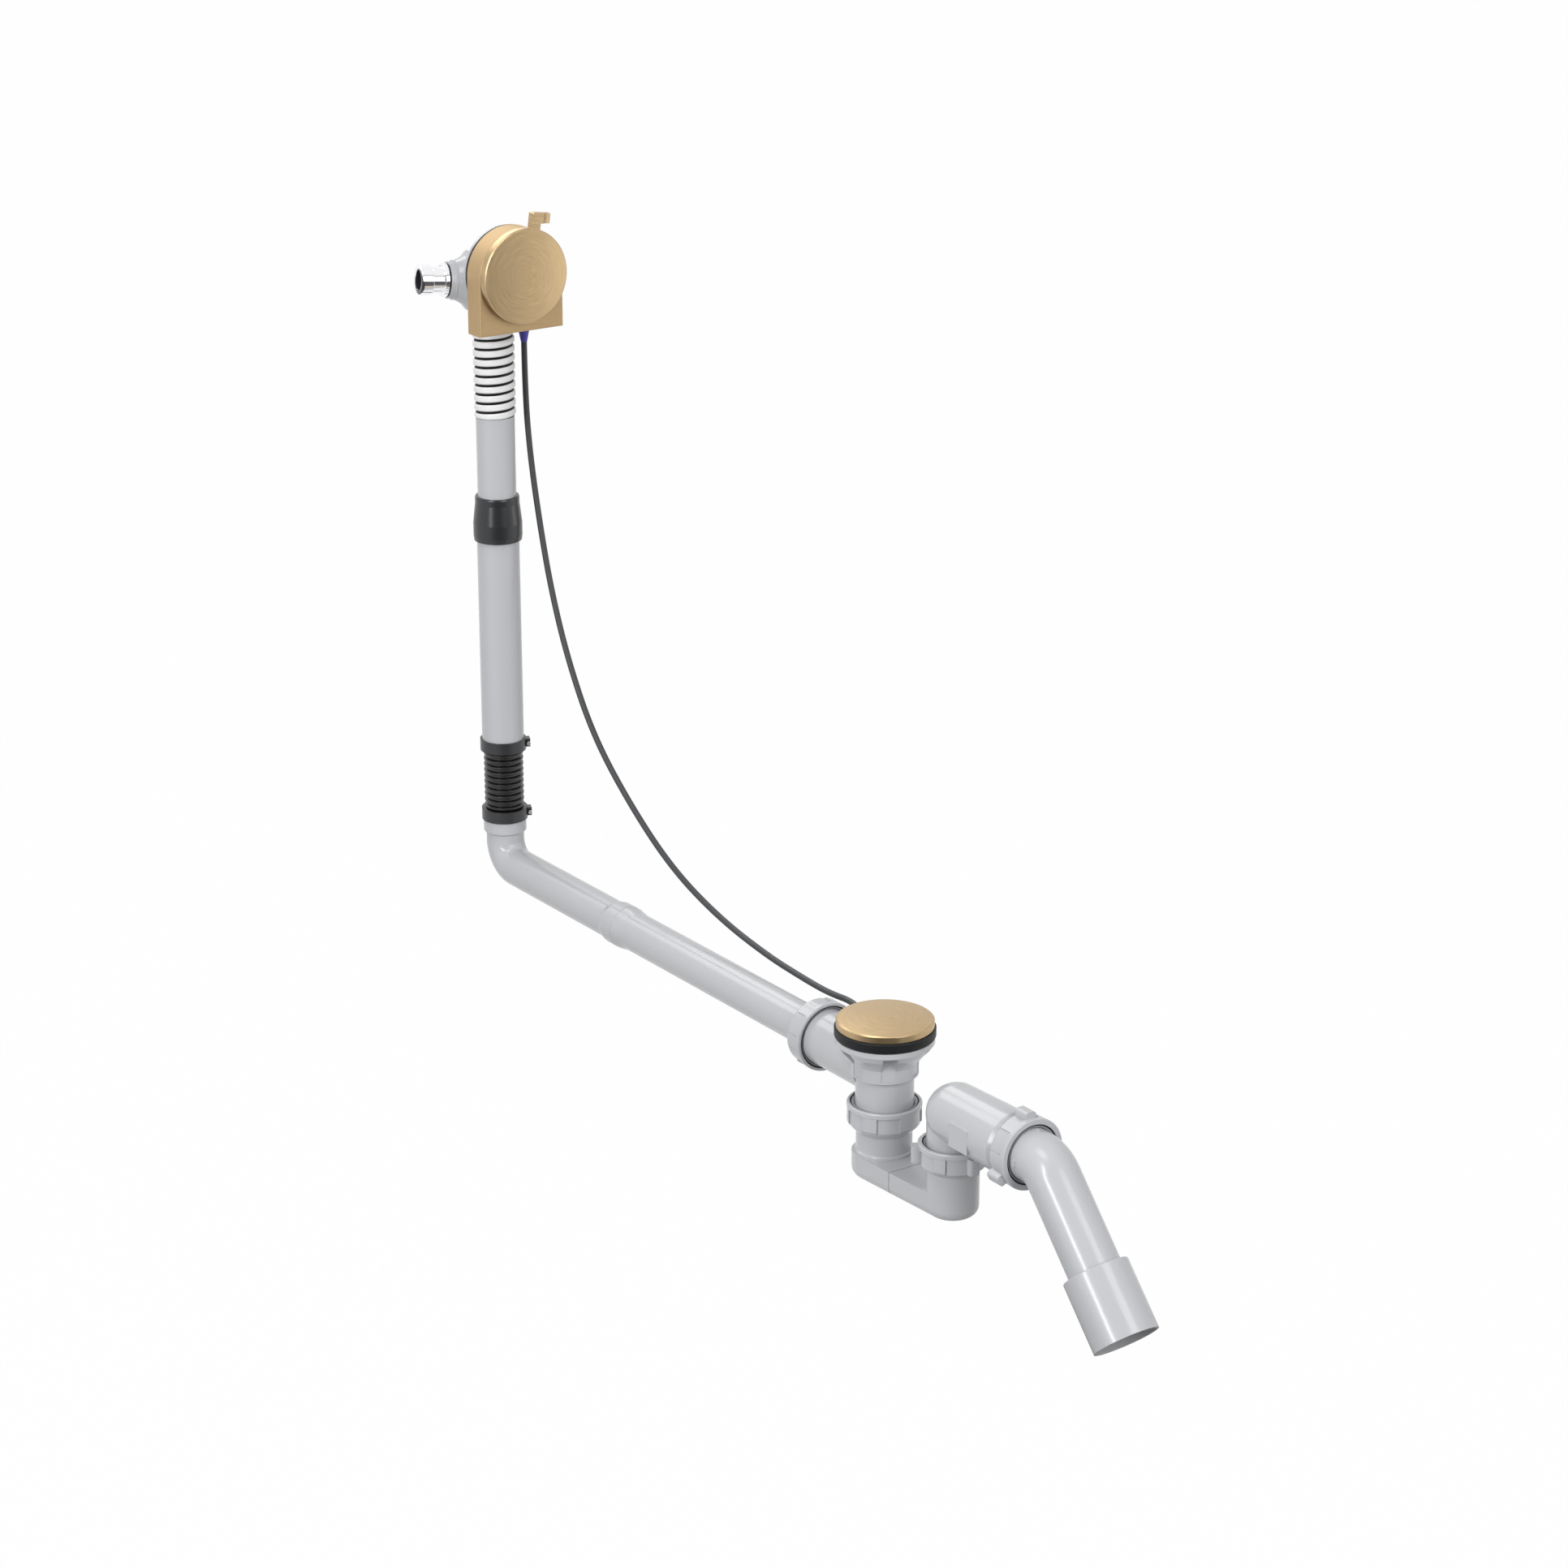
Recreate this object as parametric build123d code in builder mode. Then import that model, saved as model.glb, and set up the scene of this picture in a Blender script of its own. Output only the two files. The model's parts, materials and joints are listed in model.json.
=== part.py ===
from build123d import *
import os
from math import cos, radians, sin, tan

os.makedirs("parts", exist_ok=True)

# A bath filler with waste and overflow, in millimetres. Z is up.
# The origin is on the waste axis, at the plane where the bath floor sits on its seal.
# X runs from the overflow riser towards the waste, and Y to the back.

# Main axes
riser_distance = 543.0
dial_height = 480.0
overflow_drop = 35.0
trap_reach = 85.0
outlet_drop = 39.0

# Clearances
running_gap = 0.3
shaft_gap = 0.06
seat_gap = 0.1

# Pipes: outer radius, then wall
overflow_radius = 16.0
overflow_wall = 1.8
riser_radius = 17.6
riser_wall = 1.5
outlet_radius = 20.0
outlet_wall = 2.3
waste_radius = 22.2
waste_wall = 2.4

# Waste body, seal, valve and plug
body_flange_radius = 37.6
seal_radius = body_flange_radius + 0.7
seal_thickness = 8.0
body_flange_thickness = 4.0
body_cone_depth = 27.0
body_collar_depth = 37.5
body_collar_radius = 25.6
valve_radius = 35.0
valve_thickness = 2.2
valve_bore = 21.5
valve_thread_radius = 24.8
valve_depth = 14.5
pocket_count = 6
pocket_width = 11.0
pocket_floor = 24.6
plug_radius = 37.0
plug_wall = 1.4
plug_crown = 8.4
plug_shoulder = 6.2
plunger_radius = 4.0
stem_radius = 2.5
stem_nut_size = 10.0
guide_angle = 158.0
guide_drop = 18.5
guide_bend = 4.5
guide_radius = 2.0
guide_bore = 1.1
gland_radius = 6.5
gland_reach = 59.0

# Unions: radius of the dark ring in the mouth, and of the nut's rim
main_ring = 26.0
main_rim = 28.5
side_ring = 25.0
side_rim = 27.4
small_ring = 23.0
small_rim = 26.2
outlet_rim = 27.4
nut_length = 16.5
nut_front = 4.0
panel_count = 6
panel_width = 17.5
panel_depth = 1.4
wing_reach = 4.8
wing_width = 9.0
wing_round = 2.5
main_mouth = 60.8
side_mouth = 73.0
trap_mouth = 63.0
outlet_mouth = 178.0

# Trap
trap_top = 101.0
trap_bottom = 121.0
trap_inlet_width = 24.6
trap_outlet_width = 19.9
trap_leg_radius = 21.4
trap_wall = 2.4
trap_edge = 8.0
seam_groove = 0.5

# Outlet elbow, bend and sleeve
elbow_barrel_radius = 23.0
elbow_flare = 1.6
elbow_offset = 4.0
pad_length = 22.0
pad_height = 19.0
bend_start = 183.0
bend_radius = 26.0
bend_angle = 48.0
bend_straight = 116.0
sleeve_radius = 25.0
sleeve_length = 54.0
sleeve_start = 84.0
sleeve_wall = 1.8
sleeve_collar = 8.0

# Overflow pipe
joint_distance = 371.0
joint_length = 19.0
joint_taper = 13.0
joint_radius = 17.8
elbow_bend = 21.0
elbow_insert = 18.0
elbow_collar_radius = 18.1

# Riser
neck_height = 4.7
clamp_width = 9.8
clamp_radius = 19.3
clamp_band = 0.6
bellows_height = 51.8
bellows_folds = 10
bellows_crest = 16.6
bellows_valley = 14.4
bellows_wall = 1.2
collar_base = 250.0
collar_height = 37.5
collar_radius = 20.3
riser_overlap = 80.0
upper_pipe_top = 355.0
hose_top = dial_height - 42
hose_radius = 15.6
hose_bore = 13.4
hose_rib_radius = 17.1
hose_rib_width = 5.2
hose_pitch = 7.5

# Overflow head
wall_offset = 26.5
housing_width = 77.8
housing_drop = 45.4
housing_depth = 19.7
housing_below_dial = 1.2
housing_wall = 2.2
dial_radius = 38.6
dial_thickness = 7.2
dial_gap = 0.6
lever_angle = 8.0
lever_start = 1.0
lever_width = 7.6
lever_span = 18.5
lever_reach = 51.2
lever_height = 8.4
lever_scoop = 3.0
shaft_radius = 5.0
wall_seal_radius = 38.6
wall_seal_thickness = 4.0
can_radius = 30.0
dome_radius = 20.0
can_wall = 2.5
can_flange_radius = 37.5
can_flange_thickness = 3.5
fixing_spread = 24.0
fixing_depth = 12.0
drum_radius = 8.0
drum_width = 6.0
inlet_back = 13.0
inlet_tilt = 4.5
inlet_y = -24.6
inlet_below_dial = 8.8
nipple_radius = 11.0
nipple_collar = 12.4
nipple_bore = 8.6

# Cable, with the points of its route from the head to the waste
cable_radius = 2.5
cable_y = 28.0
ferrule_radius = 4.6
ferrule_top = dial_height - 47
ferrule_shoulder = ferrule_top - 9.7
cable_top = ferrule_top - 19.6
waste_ferrule_length = 12.0

riser_x = -riser_distance
wall_x = riser_x + wall_offset
guide_way = Vector(cos(radians(guide_angle)), sin(radians(guide_angle)), 0)
cable_end = guide_way * (gland_reach + waste_ferrule_length) - Vector(0, 0, guide_drop)
cable_lead = cable_end + guide_way * 20
cable_route = [
    (riser_x + 2, cable_y, cable_top),
    (riser_x + 2, cable_y, 368.0),
    (-535.5, 28.3, 318.0),
    (-523.5, 28.6, 264.0),
    (-508.0, 28.8, 210.0),
    (-484.0, 29.0, 155.0),
    (-446.0, 29.0, 98.0),
    (-389.0, 29.0, 52.0),
    (-329.0, 29.0, 16.5),
    (-262.0, 28.5, -4.0),
    (-195.0, 28.2, -14.2),
    (-145.0, 28.8, -17.6),
    (-113.0, 29.6, -19.0),
    (cable_lead.X, cable_lead.Y, cable_lead.Z),
    (cable_end.X, cable_end.Y, cable_end.Z),
]


def turned(points, origin=(0, 0, 0), along=(0, 0, 1), mode=Mode.ADD):
    """Turns an outline of (radius, distance along the axis) points about an axis."""
    axis = Vector(*along).normalized()
    side = Vector(0, 1, 0) if abs(axis.X) > 0.9 else Vector(1, 0, 0)
    radial = (side - axis * side.dot(axis)).normalized()
    with BuildSketch(Plane(origin=origin, x_dir=radial, z_dir=radial.cross(axis))) as outline:
        with BuildLine():
            Polyline(*points, close=True)
        make_face()
    revolve(outline.sketch, axis=Axis(origin, along), mode=mode)


def ring(inner, outer, low, high, origin=(0, 0, 0), along=(0, 0, 1), mode=Mode.ADD):
    """A plain ring or disc between two distances along an axis."""
    turned([(inner, low), (outer, low), (outer, high), (inner, high)], origin, along, mode)


def bent_rod(points, bends, radius, mode=Mode.ADD):
    """A round rod along straight runs joined by arcs."""
    with BuildLine() as route:
        FilletPolyline(*points, radius=bends)
    with BuildSketch(Plane(origin=route.line @ 0, z_dir=route.line % 0)) as section:
        Circle(radius)
    sweep(section.sketch, path=route.line, mode=mode)


def save(builder, label):
    builder.part.label = label
    export_step(builder.part, f"parts/{label}.step")


# Bath seal, under the bath floor
with BuildPart() as bath_seal:
    lip = 1.5
    turned([
        (valve_thread_radius + 2, -seal_thickness),
        (seal_radius - lip, -seal_thickness),
        (seal_radius, -seal_thickness + lip),
        (seal_radius, -lip / 2),
        (seal_radius - lip / 2, 0),
        (valve_thread_radius + 2, 0),
    ])
save(bath_seal, "bath_seal")

# Waste body: flange, pocketed cone, collar, tail, overflow arm and cable gland in one moulding
body_top = -seal_thickness
flange_under = body_top - body_flange_thickness
body_bore = waste_radius - waste_wall
tail_end = -main_mouth - nut_length + 1
arm_end = side_mouth + nut_length + 1
thread_bore = valve_thread_radius + 2 * seat_gap

with BuildPart() as waste_body:
    turned([
        (0, body_top),
        (body_flange_radius, body_top),
        (body_flange_radius, flange_under),
        (body_flange_radius - 3.5, flange_under - 5),
        (body_collar_radius + 3, flange_under - 11),
        (body_collar_radius, -body_cone_depth),
        (body_collar_radius, -body_collar_depth),
        (waste_radius, -body_collar_depth - 1.5),
        (waste_radius, tail_end),
        (0, tail_end),
    ])
    with BuildSketch(Plane.XY.offset(flange_under - 1)) as pockets:
        with PolarLocations(pocket_floor + body_flange_radius / 2, pocket_count, 180 / pocket_count):
            Rectangle(body_flange_radius, pocket_width)
    pocket_height = flange_under - 1 + body_collar_depth - 1.5
    extrude(pockets.sketch, amount=pocket_height, dir=(0, 0, -1), mode=Mode.SUBTRACT)
    ring(0, waste_radius, 10, arm_end, (0, 0, -overflow_drop), (-1, 0, 0))
    ring(0, gland_radius, waste_radius - 4, gland_reach, (0, 0, -guide_drop), tuple(guide_way))
    turned([
        (0, body_top + 1),
        (thread_bore, body_top + 1),
        (thread_bore, -valve_depth - 0.5),
        (body_bore, -valve_depth - 6),
        (body_bore, tail_end - 1),
        (0, tail_end - 1),
    ], mode=Mode.SUBTRACT)
    ring(0, body_bore, 0, arm_end + 1, (0, 0, -overflow_drop), (-1, 0, 0), Mode.SUBTRACT)
    ring(0, guide_radius + seat_gap, 0, gland_reach, (0, 0, -guide_drop), tuple(guide_way), Mode.SUBTRACT)
    ring(0, ferrule_radius, gland_reach - 8, gland_reach + 1, (0, 0, -guide_drop), tuple(guide_way),
         Mode.SUBTRACT)
save(waste_body, "waste_body")

# Valve flange, screwed down into the body from inside the bath
seat_top = valve_bore + 2.8
with BuildPart() as valve_flange:
    turned([
        (valve_bore, -valve_depth),
        (valve_thread_radius, -valve_depth),
        (valve_thread_radius, 0),
        (valve_radius, 0),
        (valve_radius, valve_thickness - 1),
        (valve_radius - 1.5, valve_thickness),
        (seat_top, valve_thickness),
        (valve_bore, -1),
    ])
save(valve_flange, "valve_flange")

# Guide cross in the valve flange, which carries the lifting plunger
hub_radius = plunger_radius + 2.4
hub_top = -2.6
hub_bottom = -guide_drop + guide_bend
cross_radius = valve_bore - seat_gap
with BuildPart() as guide_cross:
    ring(cross_radius - 2, cross_radius, hub_bottom, hub_bottom + 7)
    ring(0, hub_radius, hub_bottom, hub_top)
    with BuildSketch(Plane.XY.offset(hub_bottom)):
        with PolarLocations(cross_radius / 2, 3):
            Rectangle(cross_radius - 1, 2.4)
    extrude(amount=5)
    ring(0, plunger_radius + shaft_gap, hub_bottom - 1, hub_top + 1, mode=Mode.SUBTRACT)
save(guide_cross, "guide_cross")

# Plug: brushed cap over the flange, its seal, the stem with its locknut, and the plunger
skirt_foot = running_gap
cap_ceiling = 4.4
boss_foot = 1.2
boss_radius = 6.5
with BuildPart() as plug_cap:
    with BuildSketch(Plane.XZ):
        with BuildLine():
            shoulder = (plug_radius - 1.2, plug_shoulder)
            ThreePointArc((0, plug_crown), (plug_radius / 2, plug_crown - 0.6), shoulder)
            Line(shoulder, (plug_radius, plug_shoulder - 1))
            Polyline(
                (plug_radius, plug_shoulder - 1),
                (plug_radius, skirt_foot),
                (plug_radius - plug_wall, skirt_foot),
                (plug_radius - plug_wall, cap_ceiling - 1),
                (plug_radius - plug_wall - 1, cap_ceiling),
                (boss_radius, cap_ceiling),
                (boss_radius, boss_foot),
                (0, boss_foot),
                (0, plug_crown),
            )
        make_face()
    revolve(axis=Axis.Z)
    ring(0, stem_radius + seat_gap, boss_foot - 1, cap_ceiling + 1, mode=Mode.SUBTRACT)
save(plug_cap, "plug_cap")

with BuildPart() as plug_seal:
    turned([
        (boss_radius + seat_gap, 2.8),
        (valve_bore - 0.4, 2.8),
        (valve_bore - 0.4, 1.0),
        (valve_bore + 1.2, 1.0),
        (seat_top - 0.3, valve_thickness + 0.35),
        (seat_top + 2, valve_thickness + 0.35),
        (seat_top + 2, cap_ceiling),
        (boss_radius + seat_gap, cap_ceiling),
    ])
save(plug_seal, "plug_seal")

plunger_top = -2.0
stem_foot = -7.5
with BuildPart() as plug_stem:
    ring(0, stem_radius, stem_foot, cap_ceiling + 0.8)
save(plug_stem, "plug_stem")

with BuildPart() as stem_locknut:
    with BuildSketch(Plane.XY.offset(plunger_top)):
        RegularPolygon(stem_nut_size / 2, 6, major_radius=False)
        Circle(stem_radius + seat_gap, mode=Mode.SUBTRACT)
    extrude(amount=boss_foot - plunger_top)
save(stem_locknut, "stem_locknut")

with BuildPart() as lift_plunger:
    ring(0, plunger_radius, hub_bottom + running_gap, plunger_top)
    ring(0, stem_radius + seat_gap, stem_foot, plunger_top + 1, mode=Mode.SUBTRACT)
save(lift_plunger, "lift_plunger")

# Cable guide: a bent tube from the gland to the foot of the plunger's hub
guide_low = Vector(0, 0, -guide_drop)
guide_start = guide_low + guide_way * (gland_reach - 8)
guide_points = [tuple(guide_start), tuple(guide_low), (0, 0, hub_bottom)]
with BuildPart() as cable_guide:
    bent_rod(guide_points, guide_bend - 0.4, guide_radius)
    bent_rod(guide_points, guide_bend - 0.4, guide_bore, Mode.SUBTRACT)
save(cable_guide, "cable_guide")

# Cable ferrules and the cable itself
with BuildPart() as waste_ferrule:
    seat = gland_reach - 8
    turned([
        (0, seat),
        (ferrule_radius - seat_gap, seat),
        (ferrule_radius - seat_gap, gland_reach + 6),
        (cable_radius + 0.4, gland_reach + waste_ferrule_length),
        (0, gland_reach + waste_ferrule_length),
    ], (0, 0, -guide_drop), tuple(guide_way))
save(waste_ferrule, "waste_ferrule")

with BuildPart() as head_ferrule:
    turned([
        (0, ferrule_top),
        (ferrule_radius, ferrule_top),
        (ferrule_radius, ferrule_shoulder),
        (cable_radius + 0.1, cable_top),
        (0, cable_top),
    ], (riser_x + 2, cable_y, 0))
save(head_ferrule, "head_ferrule")

stops = [Vector(*point) for point in cable_route]
runs = [after - before for before, after in zip(stops, stops[1:])]
cable_bends = []
for before, after in zip(runs, runs[1:]):
    half_turn = radians(before.get_angle(after)) / 2
    cable_bends.append(0.45 * min(before.length, after.length) / tan(half_turn))
print("cable bend radii", [round(bend) for bend in cable_bends])
with BuildPart() as bowden_cable:
    bent_rod(cable_route, cable_bends, cable_radius)
save(bowden_cable, "bowden_cable")


def union(name, origin, along, mouth, spigot, seal_ring, rim, first_wing=None):
    """A union nut whose mouth opens along the axis, with the seal and slip ring inside it.

    Sunk grip panels run from its back to the rim.
    Three wings are added where the angle of the first is given.
    """
    back = mouth - nut_length
    bore = seal_ring + seat_gap
    across = (0, 1, 0) if along[0] else (1, 0, 0)
    foot = Plane(origin=origin, x_dir=across, z_dir=along).offset(back)
    with BuildPart() as nut:
        turned([
            (bore, back),
            (rim - 1.2, back),
            (rim - 0.2, back + 1.5),
            (rim - 0.2, mouth - nut_front),
            (rim, mouth - nut_front + 0.2),
            (rim, mouth - 0.8),
            (rim - 0.8, mouth),
            (bore, mouth),
        ], origin, along)
        with BuildSketch(foot) as panels:
            with PolarLocations(rim, panel_count, 180 / panel_count):
                Rectangle(wing_width, panel_width)
            Circle(rim - panel_depth, mode=Mode.SUBTRACT)
        extrude(panels.sketch, amount=nut_length - nut_front, mode=Mode.SUBTRACT)
        if first_wing is not None:
            with BuildSketch(foot.offset(1)) as wings:
                with PolarLocations((bore + rim + wing_reach) / 2 + 0.5, 3, first_wing):
                    RectangleRounded(rim + wing_reach - bore - 1, wing_width, wing_round)
            extrude(wings.sketch, amount=nut_length - nut_front)
    save(nut, f"{name}_nut")
    with BuildPart() as seal:
        inner = spigot + running_gap
        turned([
            (inner, mouth - 4.5),
            (seal_ring, mouth - 4.5),
            (seal_ring, mouth - 0.6),
            (seal_ring - 1, mouth - 0.6),
            (seal_ring - 1, mouth - 2.8),
            (inner, mouth - 2.8),
        ], origin, along)
    save(seal, f"{name}_seal")
    with BuildPart() as slip:
        turned([
            (inner, mouth - 2.8),
            (seal_ring - 1 - seat_gap, mouth - 2.8),
            (seal_ring - 1 - seat_gap, mouth - 0.4),
            (inner + 0.8, mouth - 1),
            (inner, mouth - 1.8),
        ], origin, along)
    save(slip, f"{name}_slip_ring")


union("main", (0, 0, 0), (0, 0, 1), -main_mouth, waste_radius, main_ring, main_rim)
union("side", (0, 0, -overflow_drop), (1, 0, 0), -side_mouth, waste_radius, side_ring, side_rim)
trap_wings = 115
outlet_wings = 90
trap_axis = (trap_reach, 0, 0)
outlet_axis = (0, 0, -outlet_drop)
union("trap", trap_axis, (0, 0, 1), -trap_mouth, outlet_radius, small_ring, small_rim, trap_wings)
union("outlet", outlet_axis, (1, 0, 0), outlet_mouth, outlet_radius, small_ring, outlet_rim, outlet_wings)

# Trap: two mouldings welded at the middle of the flat chamber
socket_lead = 4.5
trap_socket = -main_mouth - socket_lead
leg_socket = -trap_mouth - socket_lead
socket_depth = nut_length - 1
seam_x = trap_reach / 2 - 6
leg_bore = outlet_radius - outlet_wall


def chamber_outline(inset):
    """The chamber seen from above: two round ends joined by straight walls."""
    wide = trap_inlet_width - inset
    slim = trap_outlet_width - inset
    with BuildLine() as walls:
        ThreePointArc((0, wide), (-wide, 0), (0, -wide))
        Line((0, -wide), (trap_reach, -slim))
        ThreePointArc((trap_reach, -slim), (trap_reach + slim, 0), (trap_reach, slim))
        Line((trap_reach, slim), (0, wide))
    make_face(walls.edges())


def trap_shell():
    """Both halves of the trap as one hollow body."""
    with BuildSketch(Plane.XY.offset(-trap_bottom)) as outside:
        chamber_outline(0)
    chamber = extrude(outside.sketch, amount=trap_bottom - trap_top, mode=Mode.PRIVATE)
    add(chamber.solid().fillet(trap_edge, chamber.faces().sort_by(Axis.Z)[0].edges()))
    with BuildSketch(Plane.XY.offset(-trap_bottom + seam_groove)) as below_groove:
        chamber_outline(seam_groove)
    core = extrude(below_groove.sketch, amount=trap_bottom - trap_top - 2 * seam_groove, mode=Mode.PRIVATE)
    rounded_core = core.solid().fillet(trap_edge - seam_groove, core.faces().sort_by(Axis.Z)[0].edges())
    band = Box(2 * seam_groove, 3 * trap_inlet_width, 2 * (trap_bottom - trap_top), mode=Mode.PRIVATE)
    groove = Pos(seam_x, 0, -(trap_bottom + trap_top) / 2) * band - rounded_core
    add(groove, mode=Mode.SUBTRACT)
    turned([
        (0, trap_socket),
        (main_ring - seat_gap, trap_socket),
        (main_ring - seat_gap, trap_socket - socket_depth + 2),
        (trap_leg_radius, trap_socket - socket_depth - 3),
        (trap_leg_radius, -trap_top + 3),
        (trap_leg_radius + 1.2, -trap_top + 2),
        (trap_leg_radius + 1.2, -trap_top - 1),
        (0, -trap_top - 1),
    ])
    turned([
        (0, leg_socket),
        (small_ring - seat_gap, leg_socket),
        (small_ring - seat_gap, leg_socket - socket_depth + 2),
        (trap_outlet_width, leg_socket - socket_depth - 1),
        (trap_outlet_width, -trap_top - 3),
        (0, -trap_top - 3),
    ], (trap_reach, 0, 0))
    with BuildSketch(Plane.XY.offset(-trap_bottom + trap_wall)) as inside:
        chamber_outline(trap_wall)
    hollow = extrude(inside.sketch, amount=trap_bottom - trap_top - 2 * trap_wall, mode=Mode.PRIVATE)
    floor_edges = hollow.faces().sort_by(Axis.Z)[0].edges()
    add(hollow.solid().fillet(trap_edge - trap_wall, floor_edges), mode=Mode.SUBTRACT)
    spigot_bore = waste_radius + running_gap
    turned([
        (0, trap_socket + 1),
        (spigot_bore, trap_socket + 1),
        (spigot_bore, tail_end - 1),
        (trap_leg_radius - trap_wall, tail_end - 5),
        (trap_leg_radius - trap_wall, -trap_top - trap_wall - 1),
        (0, -trap_top - trap_wall - 1),
    ], mode=Mode.SUBTRACT)
    spigot_bore = outlet_radius + running_gap
    turned([
        (0, leg_socket + 1),
        (spigot_bore, leg_socket + 1),
        (spigot_bore, leg_socket - socket_depth),
        (leg_bore, leg_socket - socket_depth - 3),
        (leg_bore, -trap_top - trap_wall - 1),
        (0, -trap_top - trap_wall - 1),
    ], (trap_reach, 0, 0), mode=Mode.SUBTRACT)


seam = Plane(origin=(seam_x, 0, 0), z_dir=(1, 0, 0))
with BuildPart() as trap_inlet_half:
    trap_shell()
    split(bisect_by=seam, keep=Keep.BOTTOM)
save(trap_inlet_half, "trap_inlet_half")

with BuildPart() as trap_outlet_half:
    trap_shell()
    split(bisect_by=seam, keep=Keep.TOP)
save(trap_outlet_half, "trap_outlet_half")

# Outlet elbow: spigot in the trap's leg, round crown, barrel with the union's socket
elbow_foot = leg_socket - socket_depth + 1
outlet_socket = outlet_mouth - socket_lead
barrel_end = outlet_socket - socket_depth - 3
crown_x = trap_reach + elbow_offset
outlet_bore = outlet_radius - outlet_wall
with BuildPart() as outlet_elbow:
    ring(0, outlet_radius, elbow_foot, -outlet_drop, (trap_reach, 0, 0))
    with Locations((crown_x, 0, -outlet_drop)):
        Sphere(elbow_barrel_radius)
    turned([
        (0, crown_x),
        (elbow_barrel_radius, crown_x),
        (elbow_barrel_radius + elbow_flare, barrel_end),
        (small_ring - seat_gap, barrel_end + 3),
        (small_ring - seat_gap, outlet_socket),
        (0, outlet_socket),
    ], (0, 0, -outlet_drop), (1, 0, 0))
    pad_centre = (crown_x + 32, -elbow_barrel_radius - 1, -outlet_drop - 2.5)
    with BuildSketch(Plane(origin=pad_centre, x_dir=(1, 0, 0), z_dir=(0, -1, 0))) as pad:
        RectangleRounded(pad_length, pad_height, 1)
    extrude(pad.sketch, amount=-8)
    ring(0, outlet_bore, elbow_foot - 1, -outlet_drop, (trap_reach, 0, 0), mode=Mode.SUBTRACT)
    with Locations((trap_reach, 0, -outlet_drop)):
        Sphere(outlet_bore, mode=Mode.SUBTRACT)
    turned([
        (0, trap_reach),
        (outlet_bore, trap_reach),
        (outlet_bore, outlet_socket - socket_depth - 3),
        (outlet_radius + running_gap, outlet_socket - socket_depth),
        (outlet_radius + running_gap, outlet_socket + 1),
        (0, outlet_socket + 1),
    ], (0, 0, -outlet_drop), (1, 0, 0), Mode.SUBTRACT)
save(outlet_elbow, "outlet_elbow")

# Outlet bend and its sleeve, along a route from the union down to the drain
slope = radians(bend_angle)
way = Vector(cos(slope), 0, -sin(slope))
corner = Vector(bend_start + bend_radius * tan(slope / 2), 0, -outlet_drop)
bend_points = [
    (outlet_socket - socket_depth + 1, 0, -outlet_drop),
    tuple(corner),
    tuple(corner + way * bend_straight),
]
with BuildPart() as outlet_bend:
    bent_rod(bend_points, bend_radius, outlet_radius)
    with BuildSketch(Plane(origin=(outlet_mouth + 2, 0, -outlet_drop), z_dir=(1, 0, 0))):
        with PolarLocations(outlet_radius, 4):
            Rectangle(2, 5)
    extrude(amount=3)
    bent_rod(bend_points, bend_radius, outlet_bore, Mode.SUBTRACT)
save(outlet_bend, "outlet_bend")

sleeve_foot = sleeve_start + sleeve_length
sleeve_bore = outlet_radius + seat_gap
with BuildPart() as outlet_sleeve:
    turned([
        (sleeve_bore, sleeve_start),
        (sleeve_radius - 0.6, sleeve_start),
        (sleeve_radius, sleeve_start + 0.6),
        (sleeve_radius, sleeve_foot),
        (sleeve_radius - sleeve_wall, sleeve_foot),
        (sleeve_radius - sleeve_wall, sleeve_start + sleeve_collar),
        (sleeve_bore + 1.8, sleeve_start + sleeve_collar),
        (sleeve_bore + 1.8, bend_straight),
        (sleeve_bore, bend_straight),
    ], tuple(corner), tuple(way))
    top_face = Plane(origin=corner + way * sleeve_start, x_dir=(0, 1, 0), z_dir=way)
    with BuildSketch(top_face) as notch:
        with Locations((0, -sleeve_radius + 2.4)):
            Rectangle(7, 2.4)
    extrude(notch.sketch, amount=2, mode=Mode.SUBTRACT)
save(outlet_sleeve, "outlet_sleeve")

# Overflow pipe: bell joint at the elbow end, union socket at the waste end
side_socket = -side_mouth - socket_lead
pipe_bore = overflow_radius - overflow_wall
joint_x = -joint_distance
axis_low = (0, 0, -overflow_drop)
with BuildPart() as overflow_pipe:
    turned([
        (overflow_radius + seat_gap, joint_x),
        (overflow_radius + 0.8, joint_x),
        (joint_radius, joint_x + 5),
        (joint_radius, joint_x + joint_length - 1),
        (joint_radius - 0.5, joint_x + joint_length - 0.6),
        (joint_radius - 0.5, joint_x + joint_length + 0.2),
        (joint_radius, joint_x + joint_length + 0.6),
        (overflow_radius, joint_x + joint_length + joint_taper),
        (overflow_radius, side_socket - socket_depth - 6),
        (side_ring - seat_gap, side_socket - socket_depth + 2),
        (side_ring - seat_gap, side_socket),
        (waste_radius + seat_gap, side_socket),
        (waste_radius + seat_gap, side_socket - socket_depth + 1),
        (pipe_bore, side_socket - socket_depth - 5),
        (pipe_bore, joint_x + elbow_insert + 2),
        (overflow_radius + seat_gap, joint_x + elbow_insert),
        (overflow_radius + seat_gap, joint_x + 7),
        (overflow_radius + 1, joint_x + 7),
        (overflow_radius + 1, joint_x + 3),
        (overflow_radius + seat_gap, joint_x + 3),
    ], axis_low, (1, 0, 0))
save(overflow_pipe, "overflow_pipe")

with BuildPart() as joint_seal:
    seal_bore = overflow_radius + seat_gap / 2
    ring(seal_bore, overflow_radius + 0.9, joint_x + 3.1, joint_x + 6.9, axis_low, (1, 0, 0))
save(joint_seal, "joint_seal")

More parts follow.
